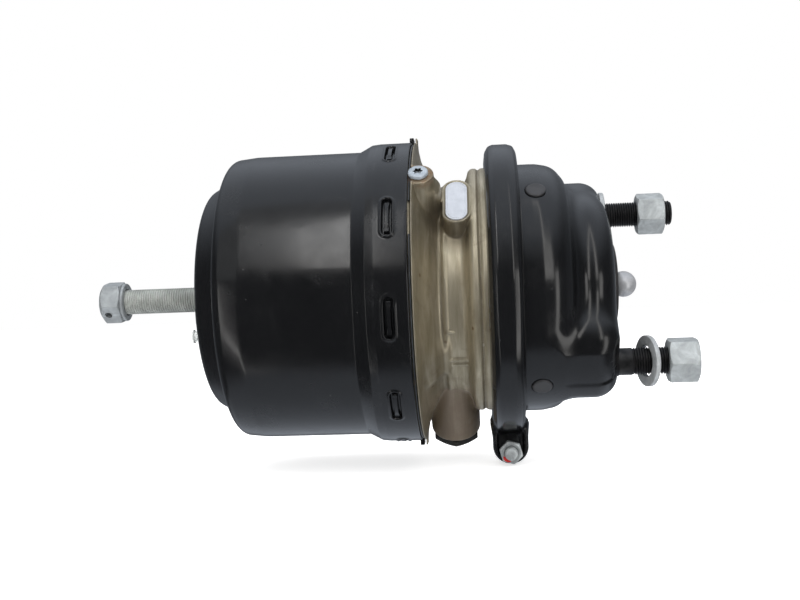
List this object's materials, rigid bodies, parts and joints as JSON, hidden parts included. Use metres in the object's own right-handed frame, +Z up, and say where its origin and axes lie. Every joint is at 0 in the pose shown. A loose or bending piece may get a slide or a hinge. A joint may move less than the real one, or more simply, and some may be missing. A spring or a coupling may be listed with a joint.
{
  "type": "air brake chamber",
  "caption": "Spring-brake air chamber: pressed steel spring and service housings on a die-cast middle flange, with clamp band, mounting studs, ball-ended push rod and release bolt.",
  "frame": {"origin": "centre of the mounting face, on the chamber's axis", "axes": "+X along the push rod, out of the mounting face; +Z up as pictured; -Y is the side that the clamp bolt's nut faces"},
  "size_m": [0.3672, 0.1858, 0.2051],
  "materials": {
    "black_paint": "gloss black cathodic paint on pressed steel",
    "zinc_steel": "dull zinc plate",
    "clear_plastic": "translucent pale plastic",
    "spring_steel": "dark coated spring steel",
    "dark_plastic": "satin moulded plastic",
    "cast_aluminium": "warm grey die cast, lightly stained",
    "black_rubber": "matt black rubber",
    "silver_plate": "satin silver plate, blank",
    "black_steel": "black phosphate, oiled",
    "plated_tube": "ground and plated steel"
  },
  "bodies": {
    "housing": {"spring_housing": "black_paint", "release_nut": "zinc_steel", "end_plug": "clear_plastic", "power_spring": "spring_steel", "spring_seat": "dark_plastic", "intermediate_flange": "cast_aluminium", "flange_o_ring": "black_rubber", "retaining_wire": "zinc_steel", "tube_bush": "dark_plastic", "tube_seal": "black_rubber", "tube_wiper": "black_rubber", "port_plug_lower": "dark_plastic", "port_plug_upper": "dark_plastic", "locking_screw": "zinc_steel", "label_plate": "silver_plate", "clamp_band": "black_paint", "clamp_bolt": "zinc_steel", "clamp_nut": "zinc_steel", "service_housing": "black_paint", "drain_plugs": "dark_plastic", "mounting_studs": "black_steel", "stud_nuts": "zinc_steel", "stud_washers": "zinc_steel", "diaphragm": "black_rubber", "boot": "black_rubber", "boot_retainer": "zinc_steel", "return_spring": "spring_steel"},
    "piston": {"spring_piston": "cast_aluminium", "piston_seal": "black_rubber", "piston_guide_ring": "dark_plastic", "piston_tube": "plated_tube", "tube_circlip": "black_steel", "tube_nose": "dark_plastic"},
    "bolt_carrier": {"thrust_disc": "black_steel"},
    "release_bolt": {"release_bolt": "zinc_steel", "release_washer": "zinc_steel"},
    "pushrod": {"push_plate": "zinc_steel", "push_rod": "plated_tube", "rod_collar": "dark_plastic"}
  },
  "joints": [
    {"name": "piston_slide", "type": "slide", "parent": "housing", "child": "piston", "axis": [1, 0, 0], "range_m": [0, 0.052], "deforming": ["power_spring"]},
    {"name": "pushrod_slide", "type": "slide", "parent": "housing", "child": "pushrod", "axis": [1, 0, 0], "range_m": [0, 0.052], "deforming": ["return_spring", "diaphragm", "boot"]},
    {"name": "bolt_travel", "type": "slide", "parent": "housing", "child": "bolt_carrier", "axis": [1, 0, 0], "range_m": [0, 0.052]},
    {"name": "bolt_turn", "type": "hinge", "parent": "bolt_carrier", "child": "release_bolt", "pos_m": [-0.31, 0, 0], "axis": [1, 0, 0], "range_deg": [0, 12480]}
  ],
  "couplings": [
    {"joint": "pushrod_slide", "follows": "piston_slide", "ratio": 1},
    {"joint": "bolt_travel", "follows": "piston_slide", "ratio": 1},
    {"joint": "bolt_turn", "follows": "piston_slide", "rad_per_m": 4188.8}
  ]
}
